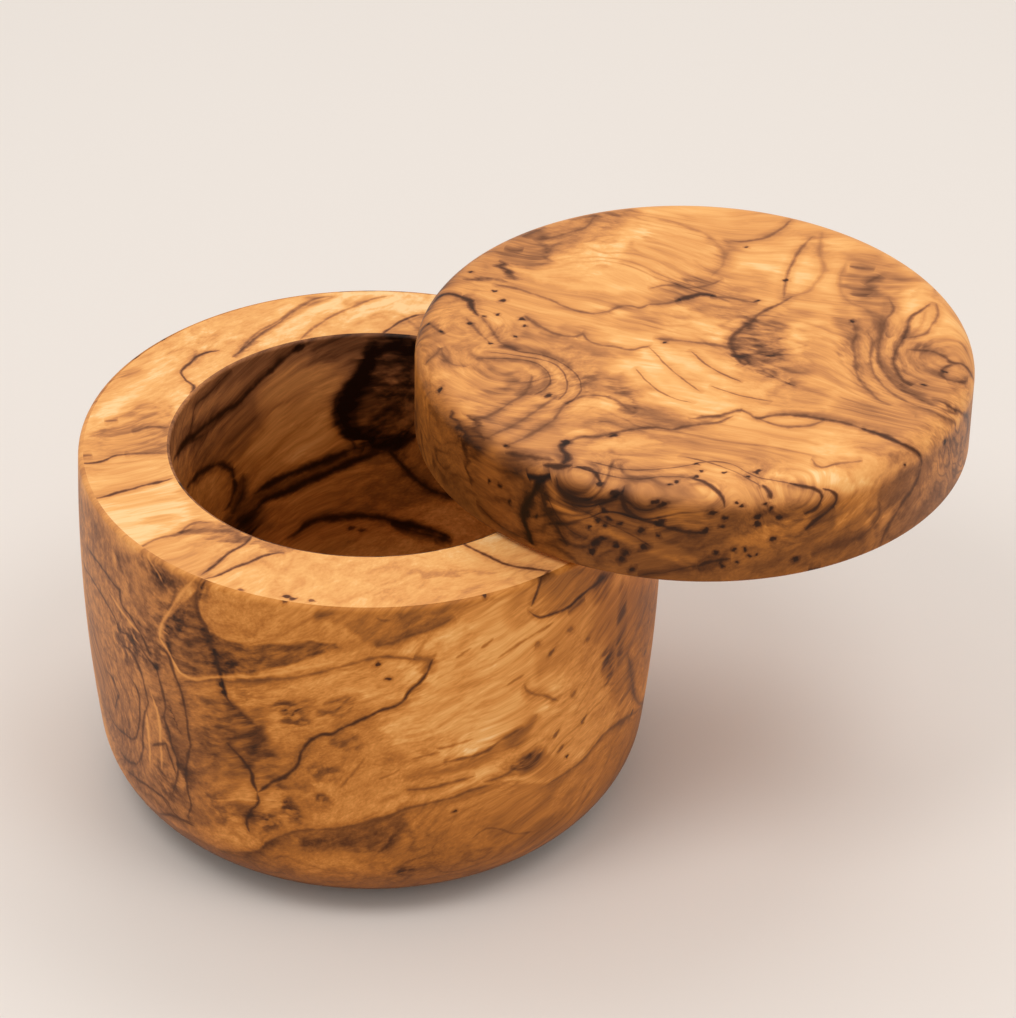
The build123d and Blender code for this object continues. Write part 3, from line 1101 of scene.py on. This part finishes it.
top.patches("""
    left, pale band: 464,276 500,276 540,288 592,304 / 468,290 500,298 540,308 590,318;
    front, by the cell: 704,484 714,486 722,492 / 704,496 716,502 722,504;
    front, middle: 664,458 700,456 744,458 / 664,474 704,478 748,474;
    front, left: 572,458 590,456 612,460 / 576,472 592,476 612,472;
    left, before the swirl: 462,408 480,398 520,392 / 466,422 484,414 524,402;
    swirl, behind: 498,340 520,338 540,342 / 498,350 520,350 540,352;
    between the flows: 856,320 868,316 878,322 / 858,338 868,342 878,336;
    right end: 938,378 950,374 964,378 / 940,406 954,406 964,398;
    beside the bent vein: 722,322 732,318 742,318 / 722,352 732,360 740,352;
    side, right of the nose: 866,518 884,508 900,500 / 872,534 890,528 906,512;
    side, at the corner: 912,476 922,468 930,474 / 908,506 916,508 926,496
""", amount=0.12, soft=3.0)
top.patches("""
    front, across: 640,432 700,430 760,442 / 640,444 700,446 760,466;
    front, triangle: 862,440 880,446 900,452 / 860,452 880,460 900,466;
    bulb: 800,296 798,330 806,356 / 828,296 832,330 830,356;
    before the bulb, low: 750,350 772,352 792,362 / 752,368 774,380 796,386;
    left, plain: 430,380 460,376 490,374 / 430,402 460,404 476,392;
    beside the bent vein, right: 744,336 756,334 764,338 / 744,356 756,360 764,358;
    right end, low: 920,382 940,382 960,386 / 922,392 940,394 960,394;
    left of the left vein: 450,344 466,350 478,358 / 456,362 470,370 482,374
""", amount=-0.1, soft=3.0)
top.patches("""
    back: 560,244 610,234 660,216 700,212 / 556,272 600,284 640,286 680,276 706,250;
    back edge: 640,203 690,201 730,204 / 640,212 690,214 730,220;
    behind the bent vein: 730,246 770,240 812,240 / 736,282 770,296 806,284;
    before the lens: 664,312 700,316 728,318 / 656,334 690,338 726,340;
    middle: 594,318 616,308 650,308 / 596,338 622,342 646,340;
    streaks: 610,348 660,344 720,348 / 636,382 676,406 730,404;
    right back: 896,292 920,284 944,310 / 900,322 925,340 960,346;
    front right: 800,442 830,432 862,450 / 806,462 840,474 868,474;
    front: 580,448 640,440 680,436 / 590,462 640,466 690,462;
    front, along the edge: 760,468 800,470 860,480 / 766,476 800,482 846,490;
    by the arch: 598,402 612,398 624,406 / 600,412 612,414 626,412
""", amount=0.08, soft=4.0)
top.patches("""
    left back, brown: 498,246 520,240 548,238 / 502,258 524,264 550,258;
    right of the bulb, low: 832,302 836,330 840,354 / 846,302 850,330 850,354;
    before the second vein: 566,320 590,322 606,330 / 572,332 590,338 606,342;
    right corner: 926,424 940,426 954,432 / 930,448 942,456 952,450;
    before the bulb: 768,352 782,350 790,356 / 772,372 790,384 800,380;
    behind the bulb: 772,316 780,310 788,310 / 774,330 782,326 790,318;
    swirl's middle: 504,372 516,366 530,370 / 508,388 518,394 530,388;
    by the hatching: 588,374 600,368 612,372 / 592,394 604,392 614,392;
    left of the long vein: 620,380 628,384 636,402 / 622,392 630,402 636,408;
    right back, dark: 850,262 862,264 876,266 / 846,284 858,296 878,290
""", amount=-0.12, soft=2.0)
LID_DARK_SMUDGES = """
    555,252 3.5 2.6 0; 692,282 3.0 2.0 0; 797,285 2.6 3.0 0; 881,295 3.0 3.0 0; 735,318 3.0 2.4 0;
    936,338 4.0 2.4 0; 645,318 3.2 2.0 0; 760,352 4.0 3.0 -30; 890,410 5.0 2.0 -20; 720,376 6.0 1.6 0;
    626,382 2.0 3.4 0; 556,386 2.2 3.0 0; 474,436 3.0 3.0 0; 518,462 3.2 2.0 0; 642,492 3.0 2.4 0;
    785,455 4.4 1.6 0; 905,462 3.0 2.0 0; 605,460 2.0 2.0 0
"""
top.smudges(LID_DARK_SMUDGES, amount=-0.14, soft=1.0)
LID_PALE_SMUDGES = """
    622,305 5.0 2.0 0; 520,261 4.0 1.6 -20; 578,225 3.6 1.8 20; 825,238 4.0 1.8 0; 801,311 3.0 2.4 0;
    692,308 3.2 3.0 0; 652,352 2.0 4.0 0; 545,335 4.0 2.0 0; 432,375 1.4 4.0 0; 472,384 2.2 2.0 0;
    712,415 4.0 1.6 0; 596,434 3.0 1.6 20; 493,462 3.2 2.0 0; 546,490 2.4 3.0 0; 716,482 2.6 2.6 0;
    768,485 2.6 2.0 0; 805,478 5.0 1.6 0; 948,402 3.2 1.6 -20; 881,525 2.6 2.6 0; 685,525 5.0 2.2 0;
    794,381 3.0 1.6 0; 884,354 1.4 2.6 0
"""
top.smudges(LID_PALE_SMUDGES, amount=0.14, soft=1.0)
top.veins("""
    flow, broad 1: 858,316 858,340 862,366 880,392 916,412 952,426;
    flow, broad 2: 884,300 880,330 882,356 898,380 928,398 960,408;
    swirl, broad outer: 500,340 530,346 556,354 572,366;
    swirl, broad inner: 470,352 500,358 530,360 546,372 540,386 518,396;
    before the long vein, broad: 612,408 650,414 690,422 730,414;
    after the long vein, broad: 770,412 820,414 866,424 912,442;
    under the second vein: 540,330 572,340 604,350 640,354
""", width=1.5, depth=0.5, soft=1.5, tone=0.42, stain=0.05)
top.veins("""
    pale 1: 612,350 636,370 668,396;
    pale 2: 640,348 668,370 704,398;
    pale 3: 664,346 694,366 730,384;
    pale 4: 690,392 716,402 748,406;
    pale 5: 596,404 606,402 618,406;
    pale, back: 508,260 540,273 590,284 640,287;
    pale, bulb: 798,318 792,336 796,352;
    pale, behind: 800,262 792,276 786,290;
    pale, right: 904,318 912,298 926,286;
    pale, front: 812,446 836,448 858,458;
    pale, flow: 864,372 880,390 904,404;
    pale, front left: 585,446 620,444 660,440
""", width=2.2, depth=0.5, soft=2.2, tone=1.0, feathered=True, stain=0.0)
# The turned side, below the arris
top.patches("""
    left end: 414,400 416,430 424,455 440,480 / 428,420 440,444 452,468 466,490;
    left side, brown: 474,440 492,444 520,466 550,486 600,500 660,510 / 474,500 510,530 560,556 620,574 690,580;
    right side, brown: 700,506 760,508 820,520 880,500 / 700,582 760,580 830,568 884,540
""", amount=-0.04, soft=2.0)
top.patches("""
    side, under the cells: 556,498 590,508 640,520 700,514 / 566,530 600,540 650,536 702,532;
    side, left of the nose's fall: 812,530 840,520 862,506 / 816,548 840,544 872,530
""", amount=0.08, soft=4.0)
top.patches("""
    side, lighter band: 548,492 575,506 610,526 650,540 690,556 / 560,512 590,530 620,544 650,556 690,572;
    side, band on the right: 726,544 760,530 812,516 / 728,548 770,546 812,528;
    side, right: 846,486 868,480 880,482 / 836,530 850,522 872,508
""", amount=0.14, soft=1.5)
top.veins("""
    right corner, streak: 952,440 948,462 940,486 922,512 900,534;
    right corner, outer: 962,430 960,452 954,476 946,492;
    right corner, inner: 936,430 930,462 916,496 900,520;
    corner's left: 905,470 892,500 872,528;
    below the nose: 842,505 822,535 790,556 750,572
""", width=1.6, depth=0.3, soft=1.6, tone=0.3, feathered=True, stain=0.04)
top.veins("""
    left blot: 432,301 438,294 448,290 462,293 474,298;
    left blot, down: 470,296 472,304 478,313;
    front, blot: 543,465 558,467 572,466;
    front, blot up: 563,466 567,456 562,448 568,441;
    lens: 676,297 690,293 702,291 716,292;
    long vein, right: 862,428 880,434 896,441 910,448 919,454 922,463
""", width=1.1, depth=0.82, soft=0.7)
top.veins("""
    left back streak: 499,255 503,262 508,268 514,274 521,277;
    left back streak, level: 460,275 470,275 480,274 495,275 510,277;
    left corner: 468,414 476,426 486,440;
    front, at the edge: 510,454 532,457 556,460;
    side crack: 461,436 465,455 468,470 471,488;
    under the left corner: 450,410 460,426 470,440 484,454
""", width=0.8, depth=0.75, soft=1.2, tone=0.12, feathered=True, halo=0.8, stain=0.05)
top.veins("""
    bent vein, on: 793,292 785,297 775,302 765,307 757,312 750,320 740,327 733,335 732,343 736,352 740,360
        746,363;
    right flow, thick: 930,300 920,308 912,313 908,322 905,333 899,343 895,352 894,362 898,372 905,380 912,384;
    right knot: 908,347 920,348 935,350 945,355 952,360 962,362 970,370 974,380;
    right knot, ring: 952,362 943,367 941,373 946,378 957,380 968,379;
    front vein: 568,441 580,437 595,436 608,434 618,432 640,428 655,427 672,429 684,426 700,424 720,421 735,414;
    long vein: 690,418 705,416 720,415 735,410 742,409 750,413 757,417 770,415 785,414 800,415 815,417 830,419
        845,422 862,428;
    over the right edge: 922,463 919,475 912,490 902,505 893,520 885,535 880,548;
    right edge, grey: 935,398 950,405 962,412 968,425 965,445
""", width=0.7, depth=0.7, soft=0.7, tone=0.17)
top.veins("""
    flow 1: 852,318 856,330 853,340 855,352 856,365 858,375 865,385 875,395 886,403;
    flow 2: 890,295 893,305 885,318 882,330 878,345 879,358 885,370 893,380 902,388 915,395 930,403 945,409
        958,413;
    flow 3: 868,330 872,338 870,352 872,366 880,380 894,393 915,404 940,415 956,424;
    back vein: 496,280 510,283 530,289 550,296 565,303 580,308 595,310 608,308 620,303 630,302 640,304 648,301;
    back vein to the lens: 648,301 665,300 680,296;
    lens, right: 712,292 730,294 745,297 757,299;
    lens, top: 650,284 665,281 690,284 708,281 722,275;
    second vein: 525,312 535,320 545,326 560,332 575,334 583,331 590,338 600,342 615,344 630,347 640,345
        650,343;
    left vein: 480,313 488,322 495,332 502,341 515,347;
    left vein, beside: 466,314 472,322 480,330 490,340;
    left edge: 420,330 426,322 438,326 445,331;
    left edge, front: 425,362 435,352 441,346 446,358 455,363 466,364;
    arch: 553,421 558,412 565,403 575,397 590,394 607,395 618,400 628,408 634,412;
    diagonal: 489,437 505,429 520,421 535,410 545,403 556,395;
    diagonal, behind: 464,413 480,417 495,412 510,401 524,393 530,384 532,373;
    diagonal, front: 505,446 520,440 535,431 546,424 554,419;
    long vein, lower branch: 757,417 770,422 785,426 800,426 812,424 822,420;
    right fork: 936,300 938,312 932,322 922,332 905,335;
    back edge, right: 726,236 745,236 765,232 780,224 792,214;
    back, orange arc: 812,232 800,245 793,258 787,272 783,295;
    left back line: 536,235 556,231 567,228 585,222 592,214 598,209;
    left back, edge: 523,231 545,222;
    left back, mark: 505,243 515,246 523,245;
    right back, marks: 850,262 862,264 874,265;
    right back, slanting: 864,280 872,275 880,271;
    nose, front: 880,505 878,520 868,533 855,540 840,545 828,550 812,557;
    front, small vein: 811,459 820,467 835,464 862,461;
    before the lens: 655,336 680,338 705,341 728,344
""", width=0.5, depth=0.6, soft=0.6, tone=0.25)
top.veins("""
    bent vein: 822,227 820,240 820,250 824,262 822,270 815,280 808,287 800,290 793,292;
    second bent vein: 846,258 840,276 846,296 866,306 874,316 866,330;
    right, inner fork: 926,308 922,320 912,330 900,336;
    back, long: 660,214 690,222 716,238 724,256 712,272
""", width=0.7, depth=0.5, soft=0.9, tone=0.4, stain=0.06)
top.veins("""
    swirl 1: 503,344 520,349 540,352 560,360 572,368 580,378 581,388 576,396 566,402;
    swirl 2: 486,350 510,352 530,355 550,360 562,368 567,380 566,390 558,398;
    swirl 3: 480,356 500,356 520,357 538,362 548,370 550,380 543,388 533,394;
    streak 1: 650,345 665,362 680,375 700,390;
    streak 2: 636,366 652,384 672,396 692,402;
    streak 3: 690,348 712,366 740,380;
    streak 4: 712,384 740,394 770,400;
    front streak 1: 590,462 630,470 672,468 720,462 760,478 800,486;
    front streak 2: 575,466 600,474 640,480 660,477 690,478;
    front streak 3: 682,456 720,466 760,486;
    side ring 1: 478,505 490,519 508,532 528,542;
    side ring 2: 546,496 556,516 570,532 584,540;
    side ring 3: 640,578 670,574 695,568;
    side ring 4: 560,500 590,516 622,532 650,548
""", width=0.3, depth=0.45, soft=0.25)
top.veins("""
    side, black, left branch: 540,480 534,492 526,508 524,522 528,534 531,544;
    side, black: 528,477 540,480 550,476
""", width=1.3, depth=0.95, soft=0.8, tone=0.0, blunt=True)
top.veins("""
    side, black, right branch: 541,484 543,500 550,518 560,534 566,546;
    cell 1: 556,478 560,490 570,498 583,503 598,503 612,500 620,494;
    cell 1, top: 572,468 585,468 595,473 601,482;
    cell 2: 624,488 622,500 628,512 640,520 655,525 675,531 690,534 705,535;
    cell 3: 690,478 705,483 715,490 722,500 724,508;
    nose, inner: 790,484 805,487 816,490 822,496 821,503 815,510 805,515;
    nose, outer: 823,489 832,492 836,500 833,508 825,515 815,522 806,531;
    dark band, low: 698,568 708,565 718,563 730,561;
    side, right of the knot: 820,572 808,573;
    knot, grey line: 762,485 768,492 771,500
""", width=0.7, depth=0.75, soft=0.45)
LID_PITS = """
    600,485 615,494 655,503 663,505 661,523 706,532 712,515 596,544 592,553 641,533 644,550 625,556 622,562
    632,572 773,541 795,562 758,518 757,525 440,388 548,394 503,297 522,316 757,472 945,441 566,442 613,435
"""
top.spots(LID_PITS, size=(0.6, 0.42), depth=0.8, turn=20)
LID_FINE_PITS = """
    604,512 609,520 604,527 597,522 589,528 603,540 620,525 658,538 616,548 725,521 722,528 779,520 716,555
    734,553 745,551 757,556 750,558 737,564 722,569 697,464 701,471 697,477 725,473 748,477 670,485 677,482
    737,503 742,507 766,505 772,510 510,503 528,515 536,517 500,486 490,482 747,242 786,276 852,318 924,383
    944,370 664,340 757,297 525,323 515,333 471,267 495,287 506,446 470,320 491,341 428,321 441,328 498,311
    484,313 905,465
"""
top.spots(LID_FINE_PITS, size=(0.34, 0.27), depth=0.75)
behind = lid_wood.between(lid_wood.vector("DOT_PRODUCT", from_top, (0, 1, 0)), -12.0, 4.0)
lid_wood.veined(lid_wood.math("MULTIPLY", behind, side_of_lid), depth=0.3)
lid_under_wood = Wood("olive wood, lid underside", LID_LIE, level=0.72, contrast=0.4)
lid_under_wood.veined(where=1.0, depth=0.4)

# ---- Pieces
# The deeper colour leaves out the pot's left, which keeps a greyer painted sheen there; in the well it grows with
# depth as painted shade; on the lid it keeps to the side, but for its right end, partly the side's own darker wood
# and partly painted shade
painted_sheen_on_left = side_wood.math("MULTIPLY", side_wood.between(round_the_side, -22.0, -52.0), in_front)
pot_looks = [side_wood.finish(side_wood.math("SUBTRACT", 1.0, painted_sheen_on_left)), rim_wood.finish(),
             well_wood.finish(well_wood.between(high, 69.0, 45.0))]
pot = turned("pot_wood_turned", pot_rings(), (0, 0), pot_looks)
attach(pot, "pot_body")
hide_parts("pot")
left_of_lid = lid_wood.between(lid_wood.vector("DOT_PRODUCT", from_top, (1, 0, 0)), 42.0, 22.0)
lid_looks = [lid_wood.finish(lid_wood.math("MULTIPLY", side_of_lid, left_of_lid)), lid_under_wood.finish()]
lid = turned("lid_wood_turned", lid_rings(), lid_middle, lid_looks)
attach(lid, "lid_body")
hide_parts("lid")


# ---- The pivot's pin, sleeve and washer keep their CAD shapes
class Worked(Material):
    """A metal or plastic with tool marks: noise drawn out along the axes where `stretch` is small."""

    def __init__(self, name, stretch, dark, pale, rough, mark_height, metallic):
        super().__init__(name)
        place = self.scaled(self.node("TexCoord").outputs["Object"], 1 / MM)
        marks = self.noise(self.vector("MULTIPLY", place, stretch), size=1, detail=3.0, roughness=0.6)
        clouds = self.noise(place, size=3)
        blend = self.math("MULTIPLY_ADD", clouds, 0.5, self.math("MULTIPLY", marks, 0.5))
        self.feed(self.shader.inputs["Base Color"], self.ramp(blend, ((0.3, dark), (0.7, pale))))
        self.feed(self.shader.inputs["Roughness"], self.between(blend, 0.3, 0.7, *rough))
        self.shader.inputs["Metallic"].default_value = metallic
        bump = self.node("Bump")
        bump.inputs["Strength"].default_value = 0.3
        bump.inputs["Distance"].default_value = mark_height * MM
        self.feed(bump.inputs["Height"], marks)
        self.feed(self.shader.inputs["Normal"], bump.outputs[0])


WORKED = {
    "pivot_pin": Worked("brushed steel", stretch=(9, 9, 0.4), dark=(150, 152, 154), pale=(188, 189, 190),
                        rough=(0.28, 0.42), mark_height=0.03, metallic=1.0),
    "pivot_bush": Worked("turned brass", stretch=(0.3, 0.3, 8), dark=(176, 140, 74), pale=(214, 180, 108),
                         rough=(0.3, 0.45), mark_height=0.03, metallic=1.0),
    "pivot_washer": Worked("nylon", stretch=(1.5, 1.5, 1.5), dark=(226, 221, 208), pale=(238, 235, 226),
                           rough=(0.45, 0.6), mark_height=0.02, metallic=0.0),
}
for node, worked in WORKED.items():
    for material_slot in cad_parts[node].material_slots:
        material_slot.material = worked.data

# ---- Floor, light and camera
FLOOR_HALF_M = 6.0
FLOOR_COLOUR = (237, 230, 223)
scene = bpy.context.scene
floor_mesh = bpy.data.meshes.new("floor")
floor_mesh.from_pydata([(x * FLOOR_HALF_M, y * FLOOR_HALF_M, 0) for x, y in ((-1, -1), (1, -1), (1, 1), (-1, 1))],
                       [], [(0, 1, 2, 3)])
floor = bpy.data.objects.new("floor", floor_mesh)
scene.collection.objects.link(floor)
paper = Material("floor paper")
paper.shader.inputs["Base Color"].default_value = linear(FLOOR_COLOUR)
paper.shader.inputs["Roughness"].default_value = 0.9
floor_mesh.materials.append(paper.data)

LAMP_SIZE = 300
LAMP_HEIGHT = 770
LAMP_AIM = Vector((0, 0, 50))
LAMPS = {  # (x, y) and watts
    "back right": ((254, 254), 0.60),
    "back": ((0, 359), 0.40),
    "front left": ((-254, -254), 1.07),
    "front right": ((254, -254), 0.84),
}
for name, (place, watts) in LAMPS.items():
    light = bpy.data.lights.new(name, "AREA")
    light.shape = "DISK"
    light.size = LAMP_SIZE * MM
    light.energy = watts
    lamp = bpy.data.objects.new(name, light)
    scene.collection.objects.link(lamp)
    place = Vector((*place, LAMP_HEIGHT))
    lamp.location = place * MM
    lamp.rotation_euler = (LAMP_AIM - place).to_track_quat("-Z", "Y").to_euler()

ROOM_COLOUR = (234, 231, 228)
ROOM_STRENGTH = 0.854
world = bpy.data.worlds.new("room")
scene.world = world
world.use_nodes = True
background = world.node_tree.nodes["Background"]
background.inputs["Color"].default_value = linear(ROOM_COLOUR)
background.inputs["Strength"].default_value = ROOM_STRENGTH

camera_data = bpy.data.cameras.new("camera")
camera_data.sensor_width = SENSOR_MM
camera_data.lens = SENSOR_MM * FOCAL_PX / max(PHOTO_WIDTH_PX, PHOTO_HEIGHT_PX)
camera_data.clip_start = 0.05
camera = bpy.data.objects.new("camera", camera_data)
scene.collection.objects.link(camera)
axes = Matrix((camera_right, camera_up, -camera_view)).transposed()
camera.matrix_world = Matrix.Translation(CAMERA_AT * MM) @ axes.to_4x4()
scene.camera = camera
scene.view_settings.view_transform = "Standard"
